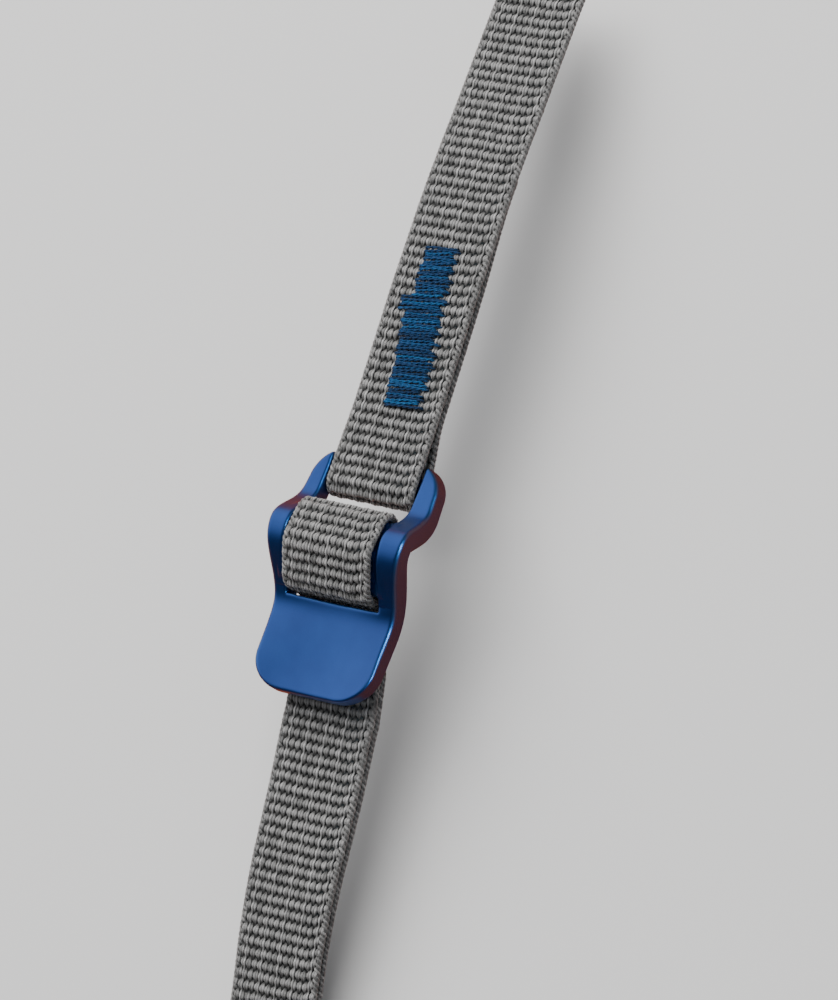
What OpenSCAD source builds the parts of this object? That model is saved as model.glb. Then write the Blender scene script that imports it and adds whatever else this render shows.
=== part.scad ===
// Ladder-lock webbing buckle with its two narrow webbing straps.
// One-piece bent alloy buckle: a round top bar holds the sewn anchor loop, a middle bar
// locks the adjustable webbing, and a dished thumb tab tilts the buckle to let it run.
// Frame: +Y runs along the straps towards the sewn anchor end, +X across them, +Z away
// from whatever the buckle rests on. The origin is the middle of the face that rests
// under the thumb tab. Front means towards +Y, rear towards -Y.

/* [Webbing] */
// Width of the webbing
web_w = 9.5; // [9:0.1:9.6]
// Thickness of the webbing
web_t = 0.9; // [0.7:0.05:0.95]
// Length of the anchor strap beyond the top bar
anchor_len = 50.5; // [44:0.5:60]
// How far the folded-back end of the anchor loop reaches past the top bar
fold_len = 30.2; // [27:0.1:33]
// Length of the load strand outside the thumb tab
load_len = 33.5; // [25:0.5:45]
// Length of the free tail outside the thumb tab
tail_len = 31.5; // [20:0.5:42]
// How far the two loose strands lie to one side of the buckle's middle
strand_side = 1.3; // [-1.5:0.1:1.5]
// Free play between stacked layers of webbing
ply_gap = 0.05; // [0.03:0.01:0.08]
// How far the sewn loop stands off the top bar
loop_slack = 0.9; // [0.2:0.1:1]

/* [Buckle plate] */
// Thickness of the plate
plate_t = 2.2; // [1.8:0.1:2.4]
// Y of the rounded tip of the thumb tab
tip_y = -4.5; // [-6:0.1:-4.4]
// Y of the ends of the two ears
ear_y = 19.2; // [18.7:0.1:20]
// Height of the flat of the thumb tab above the resting face
tab_z = 4.3; // [4.3:0.05:4.6]
// How steeply the thumb tab lifts towards its tip
tab_lift = 0.14; // [0:0.01:0.2]
// Height of the hump of the side rails
hump_z = 8.35; // [8.0:0.05:8.8]
// Height of the ears beside the top bar
ear_z = 4.0; // [3.9:0.05:4.2]
// Half width of the plate at the tip of the tab
half_w_tip = 6.35; // [6:0.05:6.5]
// Half width of the plate at the ears
half_w_ear = 6.7; // [6.4:0.05:6.9]
// Extra half width of the side rails at the hump
rail_bulge = 0.6; // [0.3:0.05:0.9]
// Radius of the two corners of the thumb tab
tab_corner_r = 3.4; // [2:0.1:4]
// Radius of the two ears
ear_corner_r = 3; // [2:0.1:3.4]
// Radius of the dish in the thumb tab
dish_r = 34; // [30:1:45]
// Depth of the dish in the thumb tab
dish_depth = 0.32; // [0.1:0.02:0.4]

/* [Bars and slots] */
// Width of the opening between the side rails
slot_w = 9.9; // [9.9:0.1:10.2]
// How far the opening lies to one side of the buckle's middle
slot_side = -0.2; // [-0.25:0.05:0]
// Radius of the round top bar
bar_r = 0.75; // [0.6:0.05:0.8]
// Y of the top bar's axis
bar_y = 17.25; // [17:0.05:17.4]
// Height of the top bar's axis
bar_z = 2.65; // [2.5:0.05:2.8]
// Radius of the rounded edges of the middle bar
mid_r = 1.1; // [0.9:0.05:1.15]
// Y of the front edge's centre on the middle bar
mid_front_y = 11.6; // [11.4:0.05:11.65]
// Height of the front edge's centre on the middle bar
mid_front_z = 6.1; // [6.0:0.05:6.2]
// Y of the crest's centre on the middle bar
mid_crest_y = 9.3; // [9.2:0.05:9.4]
// Height of the crest's centre on the middle bar
mid_crest_z = 6.75; // [6.7:0.05:6.9]
// Y of the rear edge's centre on the middle bar
mid_rear_y = 6.9; // [6.8:0.05:7.0]
// Height of the rear edge's centre on the middle bar
mid_rear_z = 5.2; // [5.0:0.05:5.4]
// Y of the tab's edge of the rear slot
slot_b_y = 4.6; // [4.4:0.05:4.65]

/* [Bartack] */
// Length of the bartack along the strap
tack_len = 15.6; // [12:0.2:16]
// Width of the bartack across the strap
tack_w = 4.1; // [3:0.1:5]
// Y of the end of the bartack nearest the buckle
tack_y = 23.9; // [23.5:0.1:24.5]
// Distance between neighbouring stitches on one side
tack_pitch = 0.74; // [0.6:0.02:1.0]
// Thickness of the bartack thread
thread_t = 0.3; // [0.2:0.02:0.35]
// Sideways lean of the bartack over its length
tack_lean = -1.25; // [-2:0.05:2]

/* [Hidden] */

alloy_color = [0.13, 0.30, 0.62];
web_color = [0.46, 0.45, 0.44];
thread_color = [0.05, 0.22, 0.42];

clear_w = 20;                           // wider than the plate
clear_z = 12;                           // higher than the plate
bar_w = slot_w + 1;                     // the bars run into the side rails at both ends
bar_play = 0.05;                        // between a bar and the webbing round it
mid_rear = [mid_rear_y, mid_rear_z];
mid_crest = [mid_crest_y, mid_crest_z];
mid_front = [mid_front_y, mid_front_z];
load_mid = web_t / 2;                   // height of the load strand's centre plane
tail_mid = load_mid + web_t + ply_gap;  // height of the tail's centre plane
wrap_r = mid_r + bar_play + web_t / 2;  // centre radius of the webbing round the middle bar
loop_r = bar_r + bar_play + web_t / 2;  // centre radius of the webbing round the top bar
corner_r = 0.8;                         // lower corner of the tab in the rear slot
corner_y = slot_b_y - corner_r;         // that corner's centre
corner_z = tab_z - plate_t + corner_r;

// ---- helpers ------------------------------------------------------------------------

// smooth step from 0 to 1
function ease(u) = let (part = min(1, max(0, u))) part * part * (3 - 2 * part);

function reversed(list) = [for (i = [len(list) - 1:-1:0]) list[i]];

// direction of a vector, in degrees
function heading(vector) = atan2(vector[1], vector[0]);

// A webbing path is a start [y, z, heading] and a list of runs [length, turn in degrees].
function straight(length) = [length, 0];
function turn(radius, angle) = [radius * abs(angle) * PI / 180, angle];

// points [y, z, heading] along one run, without its start
function run_points(start, run) =
    let (length = run[0], angle = run[1], dir = start[2])
    angle == 0
    ? [[start[0] + length * cos(dir), start[1] + length * sin(dir), dir]]
    : let (steps = max(ceil(abs(angle) / 9), ceil(length / 2)),
           radius = length / (angle * PI / 180),
           centre = [start[0] - radius * sin(dir), start[1] + radius * cos(dir)])
      [for (i = [1:steps]) let (now = dir + angle * i / steps)
          [centre[0] + radius * sin(now), centre[1] - radius * cos(now), now]];

// points along all the runs, start included
function path(start, runs, i = 0) = i >= len(runs) ? [start]
    : let (points = run_points(start, runs[i]))
      concat([start], [for (k = [0:1:len(points) - 2]) points[k]],
             path(points[len(points) - 1], runs, i + 1));

// the path's points moved sideways, to the left of its heading
function beside(points, offset) =
    [for (point = points)
        [point[0] - offset * sin(point[2]), point[1] + offset * cos(point[2])]];

// a side view in Y and Z, stood up and given a width along X
module across(width) {
    rotate([90, 0, 90])
        translate([0, 0, -width / 2])
            linear_extrude(height = width) children();
}

module webbing(points) {
    across(web_w)
        polygon(concat(beside(points, web_t / 2), reversed(beside(points, -web_t / 2))));
}

// ---- buckle -------------------------------------------------------------------------

plate_steps = 56;     // flats along the bent plate
plate_over = 0.5;     // the side view reaches past the plan at both ends
low_steps = 12;       // samples to each side when finding the lower face
bend_spread = 0.4;    // spacing of the heights averaged to round the bends
lift_y = 3.6;         // the tab lifts rearwards from here
lift_power = 1.35;
rise_y = 3.4;         // rise from the tab to the hump
rise_len = 6.2;
steep_share = 0.8;    // the drop to the ears is a steep part plus a gentle part
steep_y = 11;
steep_len = 3.4;
gentle_y = 12;
gentle_len = 7;
taper_len = 21;       // the width changes from tip to ears over this length
bulge_y = 10.8;       // middle and spread of the rails' bulge
bulge_spread = 4.4;
corner_step = 9;      // degrees between stations in the rounded corners
side_steps = 24;      // stations between the corners

// height of the sharply bent sheet
function bent(y) =
    let (up = ease((y - rise_y) / rise_len),
         down = steep_share * ease((y - steep_y) / steep_len)
              + (1 - steep_share) * ease((y - gentle_y) / gentle_len),
         tab = tab_z + tab_lift * pow(max(0, lift_y - y), lift_power) / 2)
    tab * (1 - up) + up * (1 - down) * hump_z + up * down * ear_z;

// height of the plate's upper face: the bends have a radius
function plate_top(y) =
    [1, 1, 1, 1, 1] * [for (i = [-2:2]) bent(y + bend_spread * i)] / 5;

// height of the plate's lower face: everywhere one thickness from the upper face
function plate_low(y) = min([for (i = [-low_steps:low_steps])
    let (away = plate_t * i / low_steps)
    plate_top(y + away) - sqrt(max(0, plate_t * plate_t - away * away))]);

// how far a rounded corner draws the side in, at a distance from the plate's end
function corner_inset(distance, radius) = distance >= radius ? 0
    : radius - sqrt(max(0, radius * radius - pow(radius - distance, 2)));

function plate_half_w(y) =
    half_w_tip + (half_w_ear - half_w_tip) * ease((y - tip_y) / taper_len)
    + rail_bulge * exp(-pow((y - bulge_y) / bulge_spread, 2))
    - corner_inset(y - tip_y, tab_corner_r) - corner_inset(ear_y - y, ear_corner_r);

// Y stations of the plan, closer together in the rounded corners
side_start = tip_y + tab_corner_r;
side_end = ear_y - ear_corner_r;
plan_stations = concat(
    [for (i = [0:9]) tip_y + tab_corner_r * (1 - cos(corner_step * i))],
    [for (i = [0:side_steps]) side_start + (side_end - side_start) * i / side_steps],
    [for (i = [1:10]) ear_y - ear_corner_r * (1 - sin(corner_step * i))]);

module plate_side() {
    stations = [for (i = [0:plate_steps])
        tip_y - plate_over + (ear_y - tip_y + 2 * plate_over) * i / plate_steps];
    polygon(concat([for (y = stations) [y, plate_top(y)]],
                   [for (y = reversed(stations)) [y, plate_low(y)]]));
}

module plate_plan() {
    polygon(concat([for (y = plan_stations) [plate_half_w(y), y]],
                   [for (y = reversed(plan_stations)) [-plate_half_w(y), y]]));
}

// the opening between the rails, with a rounded edge where the webbing turns under the tab
module window_side() {
    low_z = -1;
    front_y = ear_y + 2;
    difference() {
        polygon([[corner_y, low_z], [front_y, low_z], [front_y, clear_z],
                 [slot_b_y, clear_z], [slot_b_y, corner_z], [corner_y, corner_z]]);
        translate([corner_y, corner_z]) circle(r = corner_r, $fn = 48);
    }
}

// one flat of the middle bar, with rounded ends
module flat_between(start, end) {
    length = norm(end - start);
    translate(start) rotate(heading(end - start)) {
        circle(r = mid_r, $fn = 64);
        translate([length, 0]) circle(r = mid_r, $fn = 64);
        translate([0, -mid_r]) square([length, 2 * mid_r]);
    }
}

// the middle bar is bent along its crest, like the side rails it joins
module middle_bar_side() {
    flat_between(mid_rear, mid_crest);
    flat_between(mid_crest, mid_front);
}

// the shallow dish of the thumb tab; it ends at the slot, so the side rails stay whole
module dish() {
    dish_y = (tip_y + slot_b_y) / 2 + 0.2;
    start_y = tip_y - 1;
    end_y = slot_b_y + 0.3;
    intersection() {
        translate([0, dish_y, plate_top(dish_y) + dish_r - dish_depth])
            sphere(r = dish_r, $fn = 96);
        translate([-clear_w / 2, start_y, 0]) cube([clear_w, end_y - start_y, clear_z]);
    }
}

module buckle_body() {
    color(alloy_color) {
        difference() {
            intersection() {
                across(clear_w) plate_side();
                linear_extrude(height = clear_z) plate_plan();
            }
            translate([slot_side, 0, 0]) across(slot_w) window_side();
            dish();
        }
        translate([slot_side, 0, 0]) across(bar_w) middle_bar_side();
        translate([slot_side - bar_w / 2, bar_y, bar_z])
            rotate([0, 90, 0]) cylinder(r = bar_r, h = bar_w, $fn = 64);
    }
}

// ---- anchor strap -------------------------------------------------------------------

climb = 16;           // angle at which the lower layer climbs to meet the upper layer
knee_r = 6;           // centre radius of the bend where the layers meet
climb_height = 2 * loop_r - web_t - ply_gap;
climb_run = (climb_height - (loop_r + knee_r) * (1 - cos(climb))) / sin(climb);
anchor_flat = 22.8;   // flat stretch past the bar, which carries the bartack
bend_len = 12;        // then the strap bends down, and runs straight to its end
bend = 9;

// one piece: the folded-in end, the lower layer, round the bar, the upper layer
module anchor_webbing() {
    // both layers are traced outwards from the bar
    upper = path([bar_y, bar_z + loop_r, 0],
                 [straight(anchor_flat), [bend_len, -bend],
                  straight(anchor_len - anchor_flat - bend_len)]);
    fold_bend = bend * (fold_len - anchor_flat) / bend_len;
    lower_bend_r = bend_len / (bend * PI / 180) - web_t - ply_gap;
    lower = path([bar_y, bar_z - loop_r, 0],
                 [turn(loop_r, climb), straight(climb_run), turn(knee_r, -climb),
                  straight(anchor_flat - (loop_r + knee_r) * sin(climb)
                           - climb_run * cos(climb)),
                  turn(lower_bend_r, -fold_bend)]);
    loop = [for (i = [0:20]) let (angle = 270 - 9 * i)
        [bar_y - loop_slack + loop_r * cos(angle), bar_z + loop_r * sin(angle), angle - 90]];
    inwards = [for (point = reversed(lower)) point + [0, 0, 180]];
    color(web_color)
        translate([slot_side / 2, 0, 0]) webbing(concat(inwards, loop, upper));
}

// ---- bartack ------------------------------------------------------------------------

// tips of the zigzag: even tips on the right (+X), odd tips on the left
tips = 2 * floor(tack_len / tack_pitch);
tack_side = 0.65;                // X of the bartack's middle at its buckle end
tack_half = tack_pitch * 0.22;   // half the thread's width along the strap
tack_notch = tack_half * tack_w * 2 / tack_pitch;
leg_w = 0.18;
leg_inset = 0.12;                // from the tip to the leg's middle
bobbin_t = thread_t * 0.7;
seam_top = bar_z + loop_r + web_t / 2;
seam_low = seam_top - 2 * web_t - ply_gap;

function tip_side(i) = i % 2 == 0 ? 1 : -1;
function tip_x(i) = tip_side(i) * tack_w / 2 + tack_side + tack_lean * i / tips;
function tip_at(i) = tack_y + i * tack_pitch / 2;

// one edge of the zigzag: blunt at the tips on its own side, notched at the others
function tack_edge(order, side) = [for (i = order) each (tip_side(i) == side
    ? [[tip_x(i), tip_at(i) - side * tack_half], [tip_x(i), tip_at(i) + side * tack_half]]
    : [[tip_x(i) + side * tack_notch, tip_at(i)]])];

// zigzag of thread as seen from above
module tack_plan() {
    polygon(concat(tack_edge([0:tips], 1), tack_edge([tips - 1:-1:1], -1)));
}

// the short legs that dive through the webbing at the tips
module tack_legs() {
    for (i = [1:tips - 1])
        translate([tip_x(i) - tip_side(i) * leg_inset, tip_at(i)])
            square([leg_w, leg_w], center = true);
}

module thread(plan_z, plan_t, legs_z, legs_len) {
    color(thread_color) {
        translate([0, 0, plan_z]) linear_extrude(height = plan_t) tack_plan();
        translate([0, 0, legs_z]) linear_extrude(height = legs_len) tack_legs();
    }
}

module bartack_needle_thread() {
    thread(plan_z = seam_top, plan_t = thread_t,
           legs_z = seam_top - web_t, legs_len = web_t + thread_t / 2);
}

module bartack_bobbin_thread() {
    thread(plan_z = seam_low - bobbin_t, plan_t = bobbin_t,
           legs_z = seam_low - thread_t * 0.3, legs_len = web_t);
}

// ---- adjustable webbing -------------------------------------------------------------

foot_y = 5.7;           // where the bight starts to rise from the resting face
foot_lead = 0.6;        // flat stretch before that
bight_y = foot_y - foot_lead;
bight_end = 0.2;        // flat stretch after the turn under the tab
bight_side = slot_side - 0.05;
travel = 4;             // travel left for the sliding webbing
hinge_y = -5.2;         // where the two loose strands bend, just past the tab
under_tab_y = hinge_y + web_t / 2 + 0.04;
load_gap = 0.1;         // from the load strand's end to the bight, besides the travel
tail_gap = 0.25;        // from the tail's end to the tab's corner centre

// the bight: up from under the buckle, over the middle bar, down behind the tab's edge
module adjuster_bight() {
    rise = mid_front - [foot_y, load_mid + wrap_r];
    to_crest = mid_crest - mid_front;
    to_rear = mid_rear - mid_crest;
    rise_dir = heading(rise);
    crest_dir = heading(to_crest);
    rear_dir = heading(to_rear) + 360;
    // the turn under the tab goes round the centre of the tab's corner
    turn_r = mid_rear_y - wrap_r - corner_y;
    turn_z = tail_mid + turn_r;
    points = path([bight_y, load_mid, 0],
                  [straight(foot_lead), turn(wrap_r, rise_dir), straight(norm(rise)),
                   turn(wrap_r, crest_dir - rise_dir), straight(norm(to_crest)),
                   turn(wrap_r, rear_dir - crest_dir), straight(norm(to_rear)),
                   turn(wrap_r, 270 - rear_dir), straight(mid_rear_z - turn_z),
                   turn(turn_r, -90), straight(bight_end)]);
    color(web_color) translate([bight_side, 0, 0]) webbing(points);
}

// The two loose strands drop away from the tab, run straight, bend over once more and end
// in a flat stretch. The tail bends concentric with the load strand below it.
hinge_bend = 6.5;
hinge_bend_len = 1.4;
droop_len = 12.5;
end_bend = 10;
end_bend_len = 9.6;

module strand(length, mid_z) {
    // extra length of the outer strand's bends, per degree
    extra = (mid_z - load_mid) * PI / 180;
    color(web_color) translate([strand_side, 0, 0]) {
        webbing(path([hinge_y, mid_z, 180],
                     [[hinge_bend_len + hinge_bend * extra, hinge_bend],
                      straight(droop_len),
                      [end_bend_len + end_bend * extra, end_bend],
                      straight(length - hinge_bend_len - droop_len - end_bend_len)]));
        translate([-web_w / 2, hinge_y, mid_z])
            rotate([0, 90, 0]) cylinder(d = web_t, h = web_w, $fn = 48);
    }
}

// a flat piece from just inside the hinge to end_y
module under_tab(mid_z, end_y) {
    color(web_color)
        translate([strand_side / 3 - web_w / 2, under_tab_y, mid_z - web_t / 2])
            cube([web_w, end_y - under_tab_y, web_t]);
}

module load_strand_under_tab() { under_tab(load_mid, bight_y - travel - load_gap); }

module load_strand() { strand(load_len, load_mid); }

module tail_under_tab() { under_tab(tail_mid, corner_y - tail_gap); }

module tail_strand() { strand(tail_len, tail_mid); }

// ---- nodes --------------------------------------------------------------------------

buckle_body();
anchor_webbing();
bartack_needle_thread();
bartack_bobbin_thread();
adjuster_bight();
load_strand_under_tab();
load_strand();
tail_under_tab();
tail_strand();
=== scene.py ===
"""A blue anodised adjuster buckle with grey webbing.

X runs across the webbing, Y along it and Z up. The thumb tab of the buckle is at its -Y end
and the loop bar at its +Y end. The anchor strap is folded round the loop bar, runs out to +Y
and is sewn with a bartack. The adjuster strap comes in from -Y, goes over the bent middle bar
and leaves to -Y on top of itself: the load strand is below and the tail strand above.
Sizes are in mm and become metres in make_mesh; the stage is in metres.
"""
import bpy, math
import numpy as np
from mathutils import Matrix, Vector


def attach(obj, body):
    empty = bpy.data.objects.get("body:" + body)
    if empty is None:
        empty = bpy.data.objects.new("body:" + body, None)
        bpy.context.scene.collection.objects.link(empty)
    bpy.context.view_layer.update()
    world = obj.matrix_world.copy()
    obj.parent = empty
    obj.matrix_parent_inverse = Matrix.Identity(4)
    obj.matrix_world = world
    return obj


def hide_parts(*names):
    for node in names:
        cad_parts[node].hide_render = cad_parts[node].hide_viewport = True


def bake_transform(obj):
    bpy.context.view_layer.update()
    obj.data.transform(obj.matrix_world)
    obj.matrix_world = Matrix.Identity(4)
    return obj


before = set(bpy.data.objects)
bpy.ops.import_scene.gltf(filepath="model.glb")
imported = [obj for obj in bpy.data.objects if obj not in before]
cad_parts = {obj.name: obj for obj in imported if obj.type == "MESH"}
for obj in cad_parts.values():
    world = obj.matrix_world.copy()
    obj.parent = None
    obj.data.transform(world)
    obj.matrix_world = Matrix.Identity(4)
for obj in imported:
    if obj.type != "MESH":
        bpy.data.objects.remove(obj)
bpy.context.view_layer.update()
MM = 0.001
RAD = math.pi / 180

# ------------------------------------------------------------------ shared sizes
WEB_T = 0.9                       # thickness of the webbing
PLY_GAP = 0.05                    # gap between touching layers
RIB_PITCH = 1.03                  # distance between ribs of the webbing
END_PITCH = 0.31                  # distance between neighbouring warp yarns

TIP_Y, EAR_Y = -4.5, 19.2         # the two ends of the buckle
PLATE_T = 2.2
TAB_TOP, CREST_TOP, EAR_TOP = 4.3, 8.35, 4.0
TAB_R, EAR_R = 3.4, 3.0           # plan corner radii
EDGE_R = 0.42
WINDOW_W, WINDOW_X = 9.9, -0.2
WINDOW_Y = 4.6                    # -Y edge of the window
CORNER_R = 0.8                    # rounded lower edge the tail turns over
BAR_Y, BAR_Z, BAR_R = 17.25, 2.65, 0.75
# middle bar as (y, z): +Y end, crest and -Y end
MID_FAR, MID_CREST, MID_NEAR, MID_R = (11.6, 6.1), (9.3, 6.75), (6.9, 5.2), 1.1

HINGE_Y = -5.2                    # where the adjuster strands start to droop
ANCHOR_LEN, FOLD_LEN, LOAD_LEN, TAIL_LEN = 50.5, 30.2, 33.5, 31.5
ANCHOR_FLAT = 22.8                # straight part of the anchor strap, from the bar
LOOP_SLACK = 0.9
LOAD_MID = WEB_T / 2              # heights of the strand centre lines
TAIL_MID = LOAD_MID + WEB_T + PLY_GAP
LOOP_R = BAR_R + 0.05 + WEB_T / 2
WRAP_R = MID_R + 0.05 + WEB_T / 2
TURN_R = MID_NEAR[0] - WRAP_R - (WINDOW_Y - CORNER_R)
TURN_Z = TAIL_MID + TURN_R

# the bartack
TACK_LEN, TACK_W, TACK_X, TACK_Y = 15.6, 4.1, 0.65, 23.9
TACK_LEAN = -1.25                 # drift in x over its length
STITCH_PITCH = 0.52
THREAD_R, THREAD_TWIST = 0.14, 2.2


def ease(u):
    v = np.clip(u, 0, 1)
    return v * v * (3 - 2 * v)


def make_mesh(name, verts, quads, tris=(), attrs=None):
    """a smooth mesh from vertices in mm, with point attributes"""
    verts = np.asarray(verts, np.float32) * MM
    quads = np.asarray(quads, np.int32).reshape(-1, 4)
    tris = np.asarray(tris, np.int32).reshape(-1, 3)
    mesh = bpy.data.meshes.new(name)
    mesh.vertices.add(len(verts))
    mesh.vertices.foreach_set("co", verts.ravel())
    loops = np.concatenate([quads.ravel(), tris.ravel()])
    mesh.loops.add(len(loops))
    mesh.loops.foreach_set("vertex_index", loops)
    mesh.polygons.add(len(quads) + len(tris))
    starts = np.concatenate([np.arange(len(quads)) * 4,
                             len(quads) * 4 + np.arange(len(tris)) * 3]).astype(np.int32)
    mesh.polygons.foreach_set("loop_start", starts)
    mesh.update(calc_edges=True)
    mesh.validate()
    mesh.polygons.foreach_set("use_smooth", np.full(len(mesh.polygons), True))
    for key, values in (attrs or {}).items():
        values = np.asarray(values, np.float32)
        if values.ndim == 1:
            mesh.attributes.new(key, "FLOAT", "POINT").data.foreach_set("value", values)
        else:
            layer = mesh.attributes.new(key, "FLOAT_VECTOR", "POINT")
            layer.data.foreach_set("vector", values.ravel())
    mesh.update()
    obj = bpy.data.objects.new(name, mesh)
    bpy.context.scene.collection.objects.link(obj)
    return obj


# ------------------------------------------------------------------ buckle outlines
def bent(y):
    """height of the plate's top before smoothing: tab, crest, ears"""
    up = ease((y - 3.4) / 6.2)
    down = 0.8 * ease((y - 11) / 3.4) + 0.2 * ease((y - 12) / 7)
    tip_lift = 0.07 * np.maximum(0, 3.6 - y) ** 1.35
    return (TAB_TOP + tip_lift) * (1 - up) + up * (1 - down) * CREST_TOP + up * down * EAR_TOP


def plate_top(y):
    return sum(bent(y + d) for d in (-0.8, -0.4, 0, 0.4, 0.8)) / 5


def plate_low(y):
    """underside, a full plate thickness from the top measured in any direction"""
    d = PLATE_T * np.linspace(-1, 1, 161)
    near_y = np.asarray(y, float)[..., None] + d
    return (plate_top(near_y) - np.sqrt(np.maximum(0, PLATE_T ** 2 - d * d))).min(-1)


def corner_inset(d, r):
    """how far a rounded corner draws in the side at distance d from the end"""
    d = np.minimum(d, r)
    return r - np.sqrt(np.maximum(0, r * r - (r - d) ** 2))


def half_width(y):
    w = 6.35 + 0.35 * ease((y - TIP_Y) / 21) + 0.6 * np.exp(-(((y - 10.8) / 4.4) ** 2))
    return w - corner_inset(y - TIP_Y, TAB_R) - corner_inset(EAR_Y - y, EAR_R)


def side_outline():
    """the plate as (y, z)"""
    y = np.linspace(TIP_Y - 0.8, EAR_Y + 0.8, 300)
    return np.concatenate([np.stack([y, plate_top(y)], 1),
                           np.stack([y[::-1], plate_low(y[::-1])], 1)])


def plan_outline():
    """the plate as (x, y), with points crowded at the corners"""
    quarter = np.linspace(0, math.pi / 2, 34)
    y = np.concatenate([TIP_Y + TAB_R * (1 - np.cos(quarter)),
                        np.linspace(TIP_Y + TAB_R, EAR_Y - EAR_R, 110)[1:-1],
                        EAR_Y - EAR_R * (1 - np.sin(quarter))])
    w = half_width(y)
    return np.concatenate([np.stack([w, y], 1), np.stack([-w[::-1], y[::-1]], 1)])


def window_outline():
    """the opening as (y, z), flared at the lower -Y edge; it is open at the +Y end"""
    centre_y, centre_z = WINDOW_Y - CORNER_R, TAB_TOP - PLATE_T + CORNER_R
    below, above, beyond = -3, 14, EAR_Y + 3
    points = [(centre_y, below), (beyond, below), (beyond, above), (WINDOW_Y, above)]
    points += [(centre_y + CORNER_R * math.cos(a), centre_z - CORNER_R * math.sin(a))
               for a in np.linspace(0, math.pi / 2, 25)]
    return np.array(points)


SIDE, PLAN, WINDOW = side_outline(), plan_outline(), window_outline()


# ------------------------------------------------------------------ buckle distance field
def polygon_distance(px, py, polygon):
    """signed distance from points to a closed polygon, negative inside"""
    nearest = np.full(px.shape, 1e9)
    inside = np.zeros(px.shape, bool)
    for (ax, ay), (bx, by) in zip(polygon, np.roll(polygon, -1, 0)):
        ex, ey = bx - ax, by - ay
        length2 = ex * ex + ey * ey + 1e-12
        t = np.clip(((px - ax) * ex + (py - ay) * ey) / length2, 0, 1)
        dx, dy = px - ax - t * ex, py - ay - t * ey
        nearest = np.minimum(nearest, dx * dx + dy * dy)
        if ay != by:
            spans = (ay > py) != (by > py)
            inside ^= spans & (px < (bx - ax) * (py - ay) / (by - ay) + ax)
    d = np.sqrt(nearest)
    return np.where(inside, -d, d)


def smooth_min(a, b, k):
    h = np.clip(0.5 + 0.5 * (b - a) / k, 0, 1)
    return b + (a - b) * h - k * h * (1 - h)


def smooth_max(a, b, k):
    return -smooth_min(-a, -b, k)


def round_and(a, b, r):
    """intersection with a rounded edge of radius r"""
    u, v = np.maximum(a + r, 0), np.maximum(b + r, 0)
    return np.sqrt(u * u + v * v) + np.minimum(np.maximum(a + r, b + r), 0) - r


def capsule(y, z, start, end, r):
    (ay, az), (by, bz) = start, end
    ey, ez = by - ay, bz - az
    t = np.clip(((y - ay) * ey + (z - az) * ez) / (ey * ey + ez * ez), 0, 1)
    return np.hypot(y - ay - t * ey, z - az - t * ez) - r


def plate_and_window(x, d_side, d_plan, d_window):
    return (round_and(d_side, d_plan, EDGE_R),
            round_and(d_window, np.abs(x - WINDOW_X) - WINDOW_W / 2, 0.05))


def buckle_field(x, y, z, distances):
    """distance to the buckle; distances are those to the side, plan and window outlines"""
    plate, window = plate_and_window(x, *distances)
    body = smooth_max(plate, -window, 0.34)
    # the shallow round dish of the thumb tab
    dish_y, dish_r, dish_depth, dish_end = (TIP_Y + WINDOW_Y) / 2 + 0.2, 34.0, 0.32, 4.9
    dish_z = plate_top(dish_y) + dish_r - dish_depth
    dish = np.sqrt(x * x + (y - dish_y) ** 2 + (z - dish_z) ** 2) - dish_r
    body = smooth_max(body, -np.maximum(dish, y - dish_end), 0.4)
    # two bars across the window, let into its sides
    overrun = np.abs(x - WINDOW_X) - WINDOW_W / 2 - 0.6
    middle = np.minimum(capsule(y, z, MID_NEAR, MID_CREST, MID_R),
                        capsule(y, z, MID_CREST, MID_FAR, MID_R))
    loop_bar = np.hypot(y - BAR_Y, z - BAR_Z) - BAR_R
    for bar in (middle, loop_bar):
        body = smooth_min(body, np.maximum(bar, overrun), 0.3)
    return body


def edge_mask(x, distances):
    """1 along the outer edges and the rim of the window, 0 on the flats"""
    plate, window = plate_and_window(x, *distances)
    outer = np.clip((np.minimum(distances[0], distances[1]) + EDGE_R) / 0.28, 0, 1)
    inner = np.clip(1 - np.abs(plate + window) / 0.26, 0, 1)
    return np.maximum(outer, inner)


def outline_distances(points):
    x, y, z = points.T
    return (polygon_distance(y, z, SIDE), polygon_distance(x, y, PLAN),
            polygon_distance(y, z, WINDOW))


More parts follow.
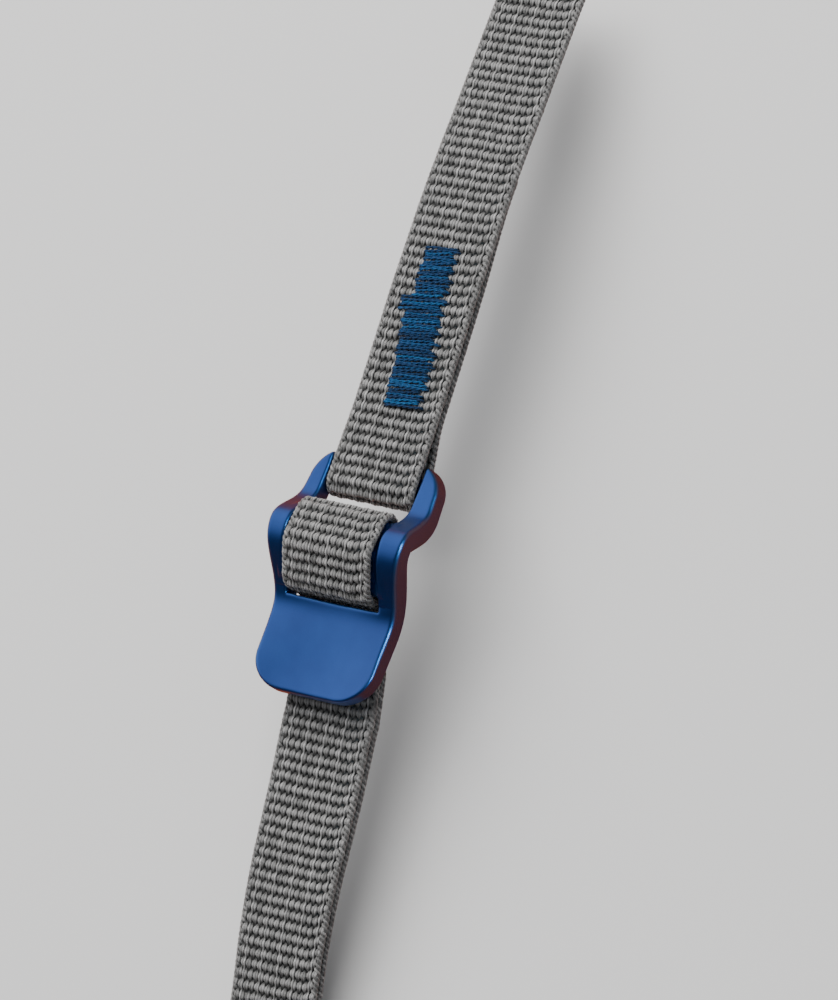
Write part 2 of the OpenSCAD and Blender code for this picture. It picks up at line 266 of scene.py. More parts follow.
def surface_net(field, spacing, origin):
    """one vertex in each cell the surface crosses, one quad for each grid edge it crosses"""
    inside = field < 0
    nx, ny, nz = field.shape
    corners = [(i, j, k) for i in (0, 1) for j in (0, 1) for k in (0, 1)]
    count = np.zeros((nx - 1, ny - 1, nz - 1), np.int8)
    for i, j, k in corners:
        count += inside[i:nx - 1 + i, j:ny - 1 + j, k:nz - 1 + k]
    crossed = (count > 0) & (count < 8)
    index = -np.ones(crossed.shape, np.int64)
    ci, cj, ck = np.nonzero(crossed)
    index[ci, cj, ck] = np.arange(len(ci))
    total = np.zeros((len(ci), 3))
    hits = np.zeros(len(ci))
    cell_edges = [(a, b) for a in corners for b in corners
                  if sum(b) - sum(a) == 1 and all(q >= p for p, q in zip(a, b))]
    for a, b in cell_edges:
        fa = field[ci + a[0], cj + a[1], ck + a[2]]
        fb = field[ci + b[0], cj + b[1], ck + b[2]]
        hit = (fa < 0) != (fb < 0)
        t = np.where(hit, fa / np.where(hit, fa - fb, 1), 0)
        pa, pb = np.array(a, float), np.array(b, float)
        total += hit[:, None] * (pa + t[:, None] * (pb - pa))
        hits += hit
    points = total / hits[:, None] + np.stack([ci, cj, ck], 1)
    points = points * spacing + np.array(origin)

    quads = []
    steps = np.eye(3, dtype=int)
    for axis in range(3):
        first = [slice(1, -1)] * 3
        first[axis] = slice(0, -1)
        second = list(first)
        second[axis] = slice(1, None)
        here, there = inside[tuple(first)], inside[tuple(second)]
        step_u, step_v = steps[(axis + 1) % 3], steps[(axis + 2) % 3]
        for flip, leaves in ((False, here & ~there), (True, ~here & there)):
            cell = np.stack(np.nonzero(leaves), 1) + 1 - steps[axis]
            ring = (cell - step_u - step_v, cell - step_v, cell, cell - step_u)
            ids = np.stack([index[c[:, 0], c[:, 1], c[:, 2]] for c in ring], 1)
            quads.append(ids[:, ::-1] if flip else ids)
    return points, np.concatenate(quads)


def buckle_mesh(spacing):
    xs = np.arange(-7.9, 7.9 + spacing, spacing)
    ys = np.arange(TIP_Y - 0.6, EAR_Y + 0.6 + spacing, spacing)
    zs = np.arange(0.6, 9.3 + spacing, spacing)
    x3, y3, z3 = np.meshgrid(xs, ys, zs, indexing="ij")
    side_y, side_z = np.meshgrid(ys, zs, indexing="ij")
    plan_x, plan_y = np.meshgrid(xs, ys, indexing="ij")
    distances = (polygon_distance(side_y, side_z, SIDE)[None],
                 polygon_distance(plan_x, plan_y, PLAN)[:, :, None],
                 polygon_distance(side_y, side_z, WINDOW)[None])
    field = buckle_field(x3, y3, z3, distances).astype(np.float32)
    points, quads = surface_net(field, spacing, (xs[0], ys[0], zs[0]))

    def field_at(p):
        return buckle_field(*p.T, outline_distances(p))

    # pull the vertices on to the exact surface
    probe = 0.02
    for damping in (0.8, 1.0):
        f0 = field_at(points)
        slope = np.stack([(field_at(points + step * probe) - f0) / probe for step in np.eye(3)], 1)
        slope2 = np.maximum((slope * slope).sum(1), 0.2)
        points = points - (np.clip(f0, -spacing, spacing) / slope2)[:, None] * slope * damping
    return points, quads, edge_mask(points[:, 0], outline_distances(points))


buckle_points, buckle_quads, buckle_edge = buckle_mesh(0.1)
buckle = make_mesh("buckle_body_finished", buckle_points, buckle_quads,
                   attrs={"edge": buckle_edge})
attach(buckle, "buckle")
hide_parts("buckle_body")


# ------------------------------------------------------------------ webbing paths
def trace(start, runs):
    """rows of (y, z, heading) from a start with its heading in degrees, along runs of
    (length, turn in degrees)"""
    step = 0.05
    y, z, heading = start
    heading = heading * RAD
    out = [(y, z, heading)]
    for length, turn in runs:
        n = max(2, int(math.ceil(length / step)))
        if turn == 0:
            for i in range(1, n + 1):
                out.append((y + length * i / n * math.cos(heading),
                            z + length * i / n * math.sin(heading), heading))
        else:
            angle = turn * RAD
            r = length / angle
            cy, cz = y - r * math.sin(heading), z + r * math.cos(heading)
            for i in range(1, n + 1):
                a = heading + angle * i / n
                out.append((cy + r * math.sin(a), cz - r * math.cos(a), a))
        y, z, heading = out[-1]
    return np.array(out)


def backwards(points):
    flipped = points[::-1].copy()
    flipped[:, 2] += math.pi
    return flipped


def arc(r, degrees):
    """length of an arc"""
    return r * abs(degrees) * RAD


class Path:
    """a centre line in Y and Z, mapped by arc length"""

    def __init__(self, points):
        gaps = np.hypot(np.diff(points[:, 0]), np.diff(points[:, 1]))
        points = points[np.r_[True, gaps > 1e-6]]
        gaps = np.hypot(np.diff(points[:, 0]), np.diff(points[:, 1]))
        self.s = np.r_[0, np.cumsum(gaps)]
        self.y, self.z = points[:, 0], points[:, 1]
        self.heading = np.unwrap(points[:, 2])
        self.length = self.s[-1]

    def at(self, s, across, height):
        """points at s along the line, across it in X and at a height above it"""
        a = np.interp(s, self.s, self.heading)
        y = np.interp(s, self.s, self.y)
        z = np.interp(s, self.s, self.z)
        over = s - np.clip(s, 0, self.length)
        y = y + over * np.cos(a) - height * np.sin(a)
        z = z + over * np.sin(a) + height * np.cos(a)
        return np.stack([across + 0 * y, y, z], -1)


def droop(length, height):
    """a strand from the hinge out to -Y, in two gentle downward bends"""
    outside = (height - LOAD_MID) * RAD
    return trace((HINGE_Y, height, 180), [(1.4 + 6.5 * outside, 6.5), (12.5, 0),
                                          (9.6 + 10 * outside, 10), (length - 23.5, 0)])


def adjuster_path():
    """load strand, foot, middle bar, turn at the window's edge, tail strand"""
    down1 = (MID_CREST[0] - MID_FAR[0], MID_CREST[1] - MID_FAR[1])
    down2 = (MID_NEAR[0] - MID_CREST[0], MID_NEAR[1] - MID_CREST[1])
    a1 = math.degrees(math.atan2(down1[1], down1[0]))
    a2 = math.degrees(math.atan2(down2[1], down2[0])) + 360
    foot_y = 5.7                  # where the strap leaves the level
    dy, dz = MID_FAR[0] - foot_y, MID_FAR[1] - (LOAD_MID + WRAP_R)
    rise = math.degrees(math.atan2(dz, dy))
    load = backwards(droop(LOAD_LEN, LOAD_MID))
    load[:, 2] -= 2 * math.pi
    middle = trace((HINGE_Y, LOAD_MID, 0),
                   [(foot_y - HINGE_Y, 0), (arc(WRAP_R, rise), rise), (math.hypot(dy, dz), 0),
                    (arc(WRAP_R, a1 - rise), a1 - rise), (math.hypot(*down1), 0),
                    (arc(WRAP_R, a2 - a1), a2 - a1), (math.hypot(*down2), 0),
                    (arc(WRAP_R, 270 - a2), 270 - a2), (MID_NEAR[1] - TURN_Z, 0),
                    (arc(TURN_R, 90), -90), (WINDOW_Y - CORNER_R - HINGE_Y, 0)])
    return Path(np.concatenate([load, middle, droop(TAIL_LEN, TAIL_MID)]))


def anchor_path():
    """from the folded end below, round the -Y side of the loop bar, to the far end on top"""
    climb, knee_r, bend_len, bend = 16, 6, 12, 9
    gap = 2 * LOOP_R - WEB_T - PLY_GAP
    cos_climb = math.cos(climb * RAD)
    sin_climb = math.sin(climb * RAD)
    climb_run = (gap - (LOOP_R + knee_r) * (1 - cos_climb)) / sin_climb
    upper = trace((BAR_Y, BAR_Z + LOOP_R, 0),
                  [(ANCHOR_FLAT, 0), (bend_len, -bend), (ANCHOR_LEN - ANCHOR_FLAT - bend_len, 0)])
    share = (FOLD_LEN - ANCHOR_FLAT) / bend_len
    lower_r = bend_len / (bend * RAD) - WEB_T - PLY_GAP
    lower = trace((BAR_Y, BAR_Z - LOOP_R, 0),
                  [(arc(LOOP_R, climb), climb), (climb_run, 0), (arc(knee_r, climb), -climb),
                   (ANCHOR_FLAT - (LOOP_R + knee_r) * sin_climb - climb_run * cos_climb, 0),
                   (arc(lower_r, bend * share), -bend * share)])
    a = (270 - 180 * np.linspace(0, 1, 80)) * RAD
    loop = np.stack([BAR_Y - LOOP_SLACK + LOOP_R * np.cos(a), BAR_Z + LOOP_R * np.sin(a),
                     a - math.pi / 2], 1)
    return Path(np.concatenate([backwards(lower), loop, upper]))


# ------------------------------------------------------------------ yarns
def smooth_noise(s, scale, amp, seed):
    n = 400
    values = np.random.default_rng(seed).standard_normal(n)
    return amp * np.interp((s / scale) % (n - 1), np.arange(n), values)


class Tubes:
    """closed tubes gathered into one mesh; each has a tone, and a 'lay' attribute of
    (distance along, angle around, number of the yarn) for the filaments"""

    def __init__(self):
        self.verts, self.quads, self.tris, self.tones, self.lays = [], [], [], [], []
        self.count = 0

    def tube(self, rings, tone, along, around, ident):
        """rings is (n, k, 3), along has n values and around has k"""
        n, k, _ = rings.shape
        i = np.arange(n - 1)[:, None] * k
        j = np.arange(k)
        nxt = (j + 1) % k
        quads = np.stack([i + j, i + k + j, i + k + nxt, i + nxt], -1).reshape(-1, 4)
        last = (n - 1) * k
        tris = np.concatenate([np.stack([np.full(k, n * k), j, nxt], 1),
                               np.stack([np.full(k, n * k + 1), last + nxt, last + j], 1)])
        # keep the faces outwards
        m = min(n // 2, n - 2)
        ring = rings[m]
        forward = rings[m + 1].mean(0) - ring.mean(0)
        if np.dot(np.cross(ring[1] - ring[0], ring[2] - ring[0]), forward) > 0:
            quads = quads[:, ::-1]
            tris = tris[:, ::-1]
        caps = np.stack([rings[0].mean(0), rings[-1].mean(0)])
        self.verts.append(np.concatenate([rings.reshape(-1, 3), caps]))
        self.quads.append(quads + self.count)
        self.tris.append(tris + self.count)
        tone = np.broadcast_to(tone, (n, k)).reshape(-1)
        self.tones.append(np.concatenate([tone, [tone[0], tone[-1]]]))
        lay = np.stack([np.broadcast_to(along[:, None], (n, k)), np.broadcast_to(around, (n, k)),
                        np.full((n, k), float(ident))], -1).reshape(-1, 3)
        self.lays.append(np.concatenate([lay, lay[:1], lay[-1:]]))
        self.count += n * k + 2

    def finish(self, name, lie):
        return make_mesh(name, lie(np.concatenate(self.verts)), np.concatenate(self.quads),
                         np.concatenate(self.tris),
                         {"tone": np.concatenate(self.tones), "lay": np.concatenate(self.lays)})


# where the warp yarns and the binders lie across the webbing
ENDS = np.arange(-14, 15) * END_PITCH
BINDERS = (np.arange(-12, 13, 6) + 0.5) * END_PITCH
# yarn sections: eight-sided and slightly boxy, so that they pack, and six-sided
EIGHT = np.arange(8) * 2 * math.pi / 8
COS8, SIN8 = np.cos(EIGHT), np.sin(EIGHT)
BOX_X, BOX_Z = np.sign(COS8) * np.abs(COS8) ** 0.75, np.sign(SIN8) * np.abs(SIN8) ** 0.9
SIX = np.arange(6) * math.pi / 3 + math.pi / 6
SIX_X, SIX_Z = np.cos(SIX), np.sin(SIX)


def hook(u, lead):
    """how far a rib runs ahead near the edges"""
    plus_x = -0.34 * ease((u - 3.2) / 1.0) + 0.22 * ease((u - 4.25) / 0.35)
    minus_x = -0.12 * ease((-u - 3.7) / 0.8)
    return lead * (plus_x + minus_x)


class Webbing(Tubes):
    """woven strap: ribs across it, warp yarns floating over them, bound edges"""

    def __init__(self, path, start, stop, lead):
        super().__init__()
        self.path, self.start, self.stop, self.lead = path, start, stop, lead
        rings_per_rib = 8
        n = int(math.ceil((stop - start) / RIB_PITCH * rings_per_rib)) + 1
        self.along = np.linspace(start, stop, n)

    def phase(self, u0, wander):
        """position counted in ribs, and the nearest rib"""
        s = self.along
        phase = (s - hook(u0, self.lead) - smooth_noise(s, 7, 0.035, 11 + wander)) / RIB_PITCH
        return phase, np.floor(phase + 0.5).astype(int)

    def tilted(self, height, thick, section_z):
        """ring positions along and above the path, square to a rising and falling yarn"""
        tilt = np.arctan(np.gradient(height, self.along) * 0.8)
        return (self.along[:, None] - (thick * np.sin(tilt))[:, None] * section_z,
                height[:, None] + (thick * np.cos(tilt))[:, None] * section_z)

    def add_binders(self):
        """fine yarns on each face that tie down every rib between groups of warp ends"""
        s = self.along
        for j, u0 in enumerate(BINDERS):
            phase, row = self.phase(u0, 2 * j)
            row_tone = np.random.default_rng(900 + j).uniform(-1, 1, 400)[row % 400]
            for face in (1, -1):
                height = face * (0.27 + 0.11 * np.cos(2 * math.pi * phase))
                u = u0 + smooth_noise(s, 5, 0.014, 800 + j)
                ss, hh = self.tilted(height, 0.07, BOX_Z)
                # painted shade: the lower the binder lies towards the grooves, the darker its
                # colour
                shade = 0.35 + 0.65 * np.clip((np.abs(hh) - 0.16) / 0.2, 0, 1)
                self.tube(self.path.at(ss, u[:, None] + 0.1 * BOX_X, hh),
                          (0.75 + 0.1 * row_tone)[:, None] * shade, s, EIGHT, 40 + j + face)

    def add_warp(self):
        """each end is two strands side by side that wander a little against each other"""
        s = self.along
        for j, u0 in enumerate(ENDS):
            phase, row = self.phase(u0, j // 3)
            row_tone = np.random.default_rng(940 + j).uniform(-1, 1, 400)[row % 400]
            wave = np.cos(math.pi * (phase + j % 2))
            wave = np.sign(wave) * np.abs(wave) ** 1.25
            up = np.abs(wave)
            amp = 0.266 + 0.012 * smooth_noise(row * 1.0, 1, 1, 200 + j)
            swell = 0.195 if 0 < j < len(ENDS) - 1 else 0.16
            width = 0.11 + swell * up ** 1.1
            for ply in (-1, 1):
                seed = 2 * j + ply
                height = amp * wave + 0.012 * ply * np.sin(2 * math.pi * s / 2.7 + j)
                u = (u0 + smooth_noise(s, 5, 0.016, 400 + j)
                     + ply * width * (0.46 + smooth_noise(s, 0.8, 0.05, 600 + seed)))
                thick = (0.104 + 0.034 * up) * (1 + 0.07 * smooth_noise(s, 0.7, 1, 700 + seed))
                ss, hh = self.tilted(height, thick, SIX_Z)
                tone = 0.6 + 0.06 * row_tone + 0.08 * smooth_noise(s, 0.6, 1, 50 + seed)
                # painted shade: the lower the strand lies towards the grooves, the darker its
                # colour
                shade = 0.42 + 0.58 * np.clip((np.abs(hh) - 0.1) / 0.28, 0, 1)
                self.tube(self.path.at(ss, u[:, None] + (width * 0.56)[:, None] * SIX_X, hh),
                          tone[:, None] * shade, s, SIX, j + 0.5 * ply)

    def add_weft(self):
        """one thick pick under each rib"""
        first = int(math.ceil((self.start + 0.25) / RIB_PITCH))
        last = int(math.floor((self.stop - 0.25) / RIB_PITCH))
        u = np.linspace(-4.5, 4.5, 26)
        half = np.where(np.abs(u) > 4.2, 0.2, 0.3)
        for rib in range(first, last + 1):
            s = rib * RIB_PITCH + hook(u, self.lead)
            rings = self.path.at(s[:, None] + half[:, None] * BOX_X, u[:, None], 0.15 * BOX_Z)
            self.tube(rings, 0.4, u, EIGHT, 100 + rib)

    def add_edges(self):
        """straight cords along each edge and two yarns laid round them, one turn to a rib"""
        cords = ((4.46, 0.14, 0.14), (4.46, 0.14, -0.14), (4.62, 0.11, 0.0))  # |x|, radius, height
        s0, s1 = self.start, self.stop
        for side in (-1, 1):
            for k, (u0, r, h0) in enumerate(cords):
                rings = self.path.at(self.along[:, None], side * u0 + r * BOX_X, h0 + r * BOX_Z)
                self.tube(rings, 0.34, self.along, EIGHT, 60 + k)
            for turn in (0, 1):
                s = np.linspace(s0 + 0.12, s1 - 0.12, int((s1 - s0) / RIB_PITCH * 18) + 1)
                w = 2 * math.pi * (s / RIB_PITCH + 0.5 * turn) * side
                u = side * (4.43 + 0.25 * np.cos(w))
                h = 0.31 * np.sin(w) * (1 - 0.12 * np.cos(w))
                tangent = np.stack([np.gradient(u), np.gradient(h), np.gradient(s)], 1)
                tangent /= np.linalg.norm(tangent, axis=1, keepdims=True)
                radial = np.stack([side * np.cos(w), np.sin(w), 0 * w], 1)
                radial -= (radial * tangent).sum(1, keepdims=True) * tangent
                radial /= np.linalg.norm(radial, axis=1, keepdims=True)
                flat = np.cross(tangent, radial)
                off = 0.078 * (radial[:, None] * COS8[None, :, None] * 0.85
                               + flat[:, None] * SIN8[None, :, None] * 1.5)
                rings = self.path.at(s[:, None] + off[..., 2], u[:, None] + off[..., 0],
                                     h[:, None] + off[..., 1])
                tone = 0.5 + 0.1 * smooth_noise(s, 1, 1, 33 + turn)[:, None]
                self.tube(rings, tone, s, EIGHT, 70 + turn)

    def add_painted_shade_core(self):
        """black core, painted shade in the gaps between the yarns, so that no light passes between
        them
        """
        s0, s1 = self.start, self.stop
        s = np.linspace(s0 + 0.03, s1 - 0.03, max(3, int((s1 - s0) / 0.4)))
        rings = self.path.at(s[:, None], np.array([-4.4, 4.4, 4.4, -4.4]),
                             np.array([-0.06, -0.06, 0.06, 0.06]))
        self.tube(rings, 0.0, 0 * s, np.zeros(4), 0)

    def add_sealed_end(self, s):
        """heat-sealed cut end"""
        u = np.linspace(-4.7, 4.7, 60)
        around = np.arange(12) * 2 * math.pi / 12
        taper = np.clip(1 - np.abs(u / 4.75) ** 8, 0.05, 1) ** 0.6
        rough = 1 + 0.06 * smooth_noise(u + 20, 0.5, 1, 77)
        rings = self.path.at(s + (0.26 * rough)[:, None] * np.cos(around) * taper[:, None],
                             u[:, None], (0.43 * rough * taper)[:, None] * np.sin(around))
        self.tube(rings, 0.3, u, around, 90)


def webbing(name, path, start, stop, lead, lie, sealed=()):
    """strap between two distances along a path, heat-sealed at those listed"""
    strap = Webbing(path, start, stop, lead)
    strap.add_binders()
    strap.add_warp()
    strap.add_weft()
    strap.add_edges()
    strap.add_painted_shade_core()
    for s in sealed:
        strap.add_sealed_end(s)
    return strap.finish(name, lie)


# ------------------------------------------------------------------ how the soft straps lie
# y, sideways shift in x, lift in z
ANCHOR_WANDER = np.array([
    (15, -.33, 0), (17.25, -.3, 0), (23.25, -.06, .03), (29.24, .15, .3), (35.23, .29, .5),
    (41.22, .37, .36), (47.19, .36, .25), (53.12, .19, .05), (59.02, -.08, -.15),
    (64.93, -.25, -.2), (70.9, -.31, -.2)])
# y, sideways shift in x
STRAND_WANDER = np.array([
    (-40, 2.2), (-34, 2.06), (-30, 1.98), (-26.8, 1.85), (-19.7, 1.66), (-12.4, 1.57),
    (-5.2, 1.3), (-0.5, 0.5), (2.2, -0.34), (30, -0.34)])
# y, twist in degrees
ANCHOR_TWIST = np.array([(17, 0), (24, 2.3), (64, 3.2)])
STRAND_TWIST = np.array([(-40, 6), (-34, 6), (-26, 4), (-18, 1), (-10, -1), (-5, -1.5), (0, 0)])


def anchor_lie(points):
    """the sewn strap wanders slightly and twists a little"""
    x, y, z = points.T
    key_y, key_x, key_z = ANCHOR_WANDER.T
    twist = np.interp(y, *ANCHOR_TWIST.T) * RAD
    moved = points.copy()
    moved[:, 2] = z + np.interp(y, key_y, key_z) + x * np.tan(twist)
    moved[:, 0] = x * np.cos(twist) + np.interp(y, key_y, key_x)
    # the folded end is shifted to -X under the upper layer; height is taken without the bend
    flat_z = z + np.maximum(0, y - (BAR_Y + ANCHOR_FLAT)) ** 2 / 152.8
    moved[:, 0] -= 0.45 * ease((y - 34) / 12) * ((flat_z < 3.43) & (y < 48.8))
    return moved


def strand_lie(points):
    """the two loose strands run out to +X and twist a little"""
    x, y, z = points.T
    twist = np.interp(y, *STRAND_TWIST.T) * RAD
    moved = points.copy()
    moved[:, 2] = z + x * np.tan(twist) * ease((3 - y) / 3)
    moved[:, 0] = x + np.interp(y, *STRAND_WANDER.T)
    return moved


# ------------------------------------------------------------------ the straps
anchor_line = anchor_path()
line = adjuster_path()
# distances along the adjuster strap where it is parted into pieces
CUT_Y, FOOT_CUT_Y = -3.0, 5.4
load_cut = LOAD_LEN + (CUT_Y - HINGE_Y)
foot = LOAD_LEN + (FOOT_CUT_Y - HINGE_Y)
tail_in_start = line.length - TAIL_LEN - (WINDOW_Y - CORNER_R - HINGE_Y) + 0.1
tail_cut = line.length - TAIL_LEN - (CUT_Y - HINGE_Y)

anchor = webbing("anchor_webbing_woven", anchor_line, 0, anchor_line.length, -1, anchor_lie,
                 sealed=(0, anchor_line.length))
load_out = webbing("load_strand_woven", line, 0, load_cut, 1, strand_lie, sealed=(0,))
load_in = webbing("load_run_woven", line, load_cut, foot, 1, strand_lie)
bight = webbing("bight_woven", line, foot, tail_in_start, 1, strand_lie)
tail_in = webbing("tail_run_woven", line, tail_in_start, tail_cut, 1, strand_lie)
tail_out = webbing("tail_strand_woven", line, tail_cut, line.length, 1, strand_lie,
                   sealed=(line.length,))

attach(anchor, "anchor_strap")
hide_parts("anchor_webbing")
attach(bight, "buckle")
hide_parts("adjuster_bight")
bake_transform(load_out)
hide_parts("load_strand")
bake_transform(load_in)
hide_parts("load_strand_under_tab")
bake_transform(tail_out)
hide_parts("tail_strand")
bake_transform(tail_in)
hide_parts("tail_under_tab")


# ------------------------------------------------------------------ bartack threads
def add_thread(tubes, line_points, ident, tone):
    """a two-ply thread along the points"""
    forward = np.gradient(line_points, axis=0)
    forward /= np.linalg.norm(forward, axis=1, keepdims=True)
    side = np.cross(forward, [0, 0, 1.0])
    side /= np.maximum(np.linalg.norm(side, axis=1, keepdims=True), 1e-6)
    normal = np.cross(side, forward)
    s = np.r_[0, np.cumsum(np.linalg.norm(np.diff(line_points, axis=0), axis=1))]
    around = np.arange(6) * 2 * math.pi / 6
    for ply in (0, 1):
        a = 2 * math.pi * s / (THREAD_R * 4 * THREAD_TWIST) + math.pi * ply
        centre = line_points + (side * np.cos(a)[:, None]
                                + normal * np.sin(a)[:, None]) * THREAD_R * 0.42
        rings = centre[:, None] + THREAD_R * 0.66 * (
            side[:, None] * np.cos(around)[None, :, None]
            + normal[:, None] * np.sin(around)[None, :, None])
        tubes.tube(rings, tone, s, around, ident)


def bartack(name, upper):
    """crosswise stitches on the top of the upper layer or the underside of the lower one"""
    tubes = Tubes()
    n = 2 * int(TACK_LEN / STITCH_PITCH)
    rng = np.random.default_rng(5 if upper else 6)
    layer_z = BAR_Z + LOOP_R
    face_z = layer_z + WEB_T / 2 if upper else layer_z - 1.5 * WEB_T - PLY_GAP
    outward = 1 if upper else -1
    t = np.linspace(0, 1, 30)
    for i in range(n):
        y0 = TACK_Y + i * TACK_LEN / n
        f = i / (n - 1)
        centre_x = TACK_X + TACK_LEAN * f
        # stepped -X edge, ragged +X edge
        x0 = centre_x - TACK_W / 2 + rng.uniform(-0.12, 0.3)
        x1 = centre_x + TACK_W / 2 + rng.uniform(-0.42, 0.16)
        if upper:
            if 0.35 < f < 0.6:
                x0 -= 0.1
            if 0.60 < f < 0.68:
                x0 -= 0.75
            if f > 0.68:
                x0 += 0.35
            x1 += 0.2 * math.cos(2 * math.pi * y0 / RIB_PITCH)
        x = x0 + (x1 - x0) * t
        y = (y0 - 0.1 + (TACK_LEN / n + 0.12) * t + 0.05 * np.sin(t * math.pi * 2 + 1.7 * i)
             + 0.07 * rng.standard_normal() * (t - 0.5))
        lift = (0.10 + 0.05 * np.sin(t * math.pi) + 0.02 * rng.standard_normal() + 0.05 * (i % 2)
                + 0.045 * np.cos(2 * math.pi * y / RIB_PITCH))
        # both ends dive into the webbing
        from_end = np.minimum(t, 1 - t) * (x1 - x0)
        dive = np.clip(1 - from_end / 0.24, 0, 1) ** 2
        z = face_z + outward * (lift - 0.42 * dive)
        add_thread(tubes, np.stack([x, y, z], 1), i, 0.36 + 0.22 * rng.uniform(-1, 1))
    return tubes.finish(name, anchor_lie)


needle = bartack("bartack_needle_stitches", True)
bobbin = bartack("bartack_bobbin_stitches", False)
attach(needle, "anchor_strap")
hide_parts("bartack_needle_thread")
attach(bobbin, "anchor_strap")
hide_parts("bartack_bobbin_thread")


# ------------------------------------------------------------------ materials
class Nodes:
    """short ways to add and link nodes; inputs are values or sockets"""

    def __init__(self, owner):
        owner.use_nodes = True
        self.tree = owner.node_tree

    def feed(self, node, inputs):
        for key, value in inputs.items():
            if isinstance(value, bpy.types.NodeSocket):
                self.tree.links.new(value, node.inputs[key])
            else:
                node.inputs[key].default_value = value

    def shade(self, inputs):
        self.feed(self.tree.nodes["Principled BSDF"], inputs)

    def new(self, kind, inputs=None, **settings):
        node = self.tree.nodes.new(kind)
        for key, value in settings.items():
            setattr(node, key, value)
        self.feed(node, inputs or {})
        return node

    def math(self, operation, *values):
        return self.new("ShaderNodeMath", dict(enumerate(values)), operation=operation).outputs[0]

    def centred(self, value, amount):
        """a noise moved to swing either side of zero"""
        return self.math("MULTIPLY", self.math("SUBTRACT", value, 0.5), amount)

    def attribute(self, name, output="Fac"):
        return self.new("ShaderNodeAttribute", attribute_name=name).outputs[output]

    def noise(self, vector, **inputs):
        return self.new("ShaderNodeTexNoise", {"Vector": vector, **inputs}).outputs["Fac"]

    def bump(self, height, **inputs):
        return self.new("ShaderNodeBump", {"Height": height, **inputs}).outputs[0]

    def mix(self, factor, a, b):
        return self.new("ShaderNodeMix", {"Factor": factor, "A": a, "B": b},
                        data_type="RGBA").outputs["Result"]

    def map_range(self, value, from_min=0, from_max=1, to_min=0, to_max=1, **settings):
        inputs = {"Value": value, "From Min": from_min, "From Max": from_max,
                  "To Min": to_min, "To Max": to_max}
        return self.new("ShaderNodeMapRange", inputs, **settings).outputs[0]

    def ramp(self, value, stops):
        """stops are (position, colour)"""
        node = self.new("ShaderNodeValToRGB", {0: value})
        elements = node.color_ramp.elements
        while len(elements) > 1:
            elements.remove(elements[-1])
        elements[0].position, elements[0].color = stops[0][0], (*stops[0][1], 1)
        for position, colour in stops[1:]:
            elements.new(position).color = (*colour, 1)
        return node.outputs[0]


def yarn_material(name, stops, roughness, sheen):
    material = bpy.data.materials.new(name)
    N = Nodes(material)
    tone = N.attribute("tone")
    lay = N.new("ShaderNodeSeparateXYZ", {0: N.attribute("lay", "Vector")}).outputs
    # filaments run along the yarn with a slight twist; each yarn has its own part of the noise
    twist, stretch, ring, apart = 1.6, 1.1, 3.2, 7.3
    angle = N.math("ADD", lay["Y"], N.math("MULTIPLY", lay["X"], twist))
    place = N.new("ShaderNodeCombineXYZ", {
        0: N.math("MULTIPLY", lay["X"], stretch),
        1: N.math("MULTIPLY", N.math("SINE", angle), ring),
        2: N.math("ADD", N.math("MULTIPLY", N.math("COSINE", angle), ring),
                  N.math("MULTIPLY", lay["Z"], apart))})
    filament = N.noise(place.outputs[0], Scale=2.2, Detail=5.0, Roughness=0.65)
    mottle = N.noise(N.new("ShaderNodeTexCoord").outputs["Object"], Scale=900.0, Detail=3.0)
    value = N.math("ADD", tone, N.centred(filament, 0.8))
    value = N.math("ADD", value, N.centred(mottle, 0.18))
    N.shade({
        "Base Color": N.ramp(value, stops),
        "Normal": N.bump(filament, Strength=0.6, Distance=0.00008),
        "Roughness": N.map_range(filament, to_min=roughness - 0.1, to_max=roughness + 0.12),
        "Sheen Weight": sheen,
        "Sheen Roughness": 0.4,
        "Specular IOR Level": 0.45})
    return material


def alloy_material():
    material = bpy.data.materials.new("blue_anodised_finish")
    N = Nodes(material)
    place = N.new("ShaderNodeTexCoord").outputs["Object"]
    fine = N.noise(place, Scale=9000.0, Detail=4.0, Roughness=0.6)
    broad = N.noise(place, Scale=240.0, Detail=3.0)
    edge = N.attribute("edge")
    value = N.math("ADD", N.math("MULTIPLY", broad, 0.7), N.math("MULTIPLY", fine, 0.3))
    blue = N.ramp(value, [(0.0, (0.018, 0.075, 0.36)), (0.55, (0.032, 0.13, 0.52)),
                          (1.0, (0.05, 0.2, 0.66))])
    # thinner, brighter colour along the edges: partly tumbled wear, partly a painted highlight
    edge_wear_and_highlight = N.map_range(N.math("ADD", edge, N.centred(broad, 0.5)), from_min=0.35, from_max=1.0)
    N.shade({
        "Base Color": N.mix(N.math("MULTIPLY", edge_wear_and_highlight, 0.6), blue, (0.10, 0.36, 0.85, 1)),
        "Metallic": 1.0,
        "Roughness": N.map_range(fine, to_min=0.3, to_max=0.46),
        "Normal": N.bump(fine, Strength=0.12, Distance=0.00002),
        "Coat Weight": 0.7,
        "Coat IOR": 1.6,
        "Coat Roughness": 0.24})
    return material


webbing_material = yarn_material("grey_webbing_yarn", [
    (0.0, (0.012, 0.012, 0.012)), (0.25, (0.06, 0.058, 0.055)), (0.5, (0.19, 0.185, 0.178)),
    (0.75, (0.34, 0.33, 0.32)), (1.0, (0.55, 0.54, 0.525))], roughness=0.5, sheen=0.25)
thread_material = yarn_material("blue_bonded_thread", [
    (0.0, (0.002, 0.012, 0.04)), (0.4, (0.001, 0.04, 0.125)), (0.7, (0.002, 0.1, 0.26)),
    (1.0, (0.006, 0.23, 0.49))], roughness=0.42, sheen=0.05)
buckle.data.materials.append(alloy_material())
for strap in (anchor, bight, load_out, load_in, tail_in, tail_out):
    strap.data.materials.append(webbing_material)
for stitches in (needle, bobbin):
    stitches.data.materials.append(thread_material)


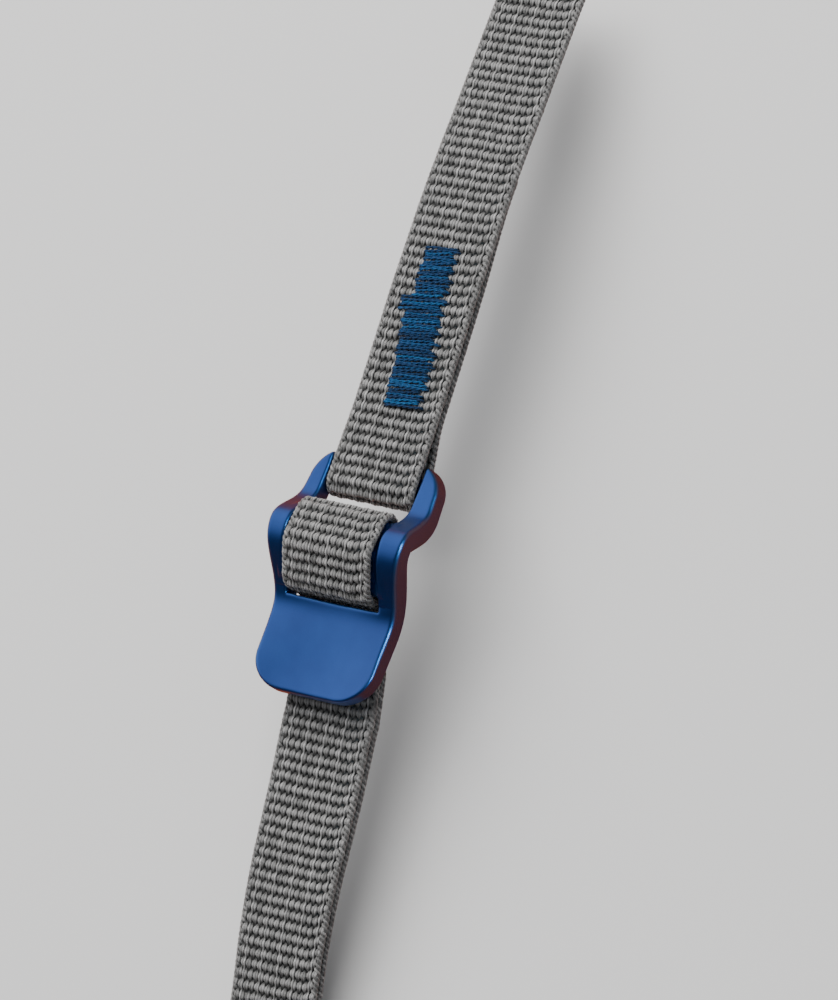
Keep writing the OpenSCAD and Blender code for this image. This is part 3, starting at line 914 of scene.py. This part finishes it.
# ------------------------------------------------------------------ floor, in metres from here on
def floor_material():
    """pale, with a painted reflection: glossy rays see it dark orange, so the metal mirrors it
    dark orange
    """
    material = bpy.data.materials.new("pale_floor")
    N = Nodes(material)
    glossy = N.new("ShaderNodeLightPath").outputs["Is Glossy Ray"]
    N.shade({"Roughness": 0.85,
             "Base Color": N.mix(glossy, (0.66, 0.65, 0.635, 1), (0.34, 0.06, 0.01, 1))})
    return material


bpy.ops.mesh.primitive_plane_add(size=4, location=(0, 0, -0.0068))
floor = bpy.context.object
floor.name = "floor"
floor.data.materials.append(floor_material())


# ------------------------------------------------------------------ lights
def area_light(name, location, size, power, colour):
    """a rectangular light aimed at the origin"""
    light = bpy.data.lights.new(name, "AREA")
    light.shape = "RECTANGLE"
    light.size, light.size_y = size
    light.energy = power
    light.color = colour
    obj = bpy.data.objects.new(name, light)
    bpy.context.scene.collection.objects.link(obj)
    obj.location = location
    obj.rotation_euler = (-Vector(location)).to_track_quat("-Z", "Y").to_euler()
    return obj


key = area_light("key", location=(-0.20, 0.38, 0.56), size=(0.8, 0.8), power=10.5,
                 colour=(1, 1, 1))
key.visible_glossy = False
rim = area_light("rim", location=(0.514, 0.09, 0.296), size=(0.08, 0.3), power=1.5,
                 colour=(0.55, 0.85, 1.0))
rim.visible_diffuse = False


def build_world():
    world = bpy.data.worlds.new("world")
    bpy.context.scene.world = world
    N = Nodes(world)
    # a soft glow in the sky round one direction
    glow_direction = (-0.72, 0.45, 0.53)
    facing = N.new("ShaderNodeVectorMath", {
        0: N.new("ShaderNodeTexCoord").outputs["Generated"], 1: glow_direction},
        operation="DOT_PRODUCT").outputs["Value"]
    sky = N.map_range(facing, from_min=0.45, from_max=1.0, to_min=0.06, to_max=0.85,
                      interpolation_type="SMOOTHSTEP")
    # the yarns and the floor also get an even fill, which the metal doesn't mirror
    even = 0.36
    glossy = N.new("ShaderNodeLightPath").outputs["Is Glossy Ray"]
    fill = N.math("MULTIPLY_ADD", glossy, -even, even)
    N.feed(N.tree.nodes["Background"], {"Color": (0.93, 0.95, 1, 1),
                                        "Strength": N.math("ADD", sky, fill)})


build_world()


# ------------------------------------------------------------------ camera
def build_camera():
    """looks down on the buckle from a little to +X and -Y"""
    lean_x, lean_y, roll = 0.515, 0.176, 0.213      # radians
    target, distance = Vector((0, 0.008, 0.0044)), 0.596
    back = Vector((math.sin(lean_x), -math.sin(lean_y) * math.cos(lean_x),
                   math.cos(lean_y) * math.cos(lean_x)))
    level_x = (Vector((1, 0, 0)) - back * back.x).normalized()
    level_y = back.cross(level_x)
    right = math.cos(roll) * level_x + math.sin(roll) * level_y
    up = math.cos(roll) * level_y - math.sin(roll) * level_x
    data = bpy.data.cameras.new("camera")
    camera = bpy.data.objects.new("camera", data)
    bpy.context.scene.collection.objects.link(camera)
    matrix = Matrix((right, up, back)).transposed().to_4x4()
    matrix.translation = target + back * distance
    camera.matrix_world = matrix
    data.sensor_width = 36
    data.lens = 232.47576
    data.shift_x = 0.073244
    data.shift_y = 0.068267
    data.clip_start = 0.01
    bpy.context.scene.camera = camera


build_camera()
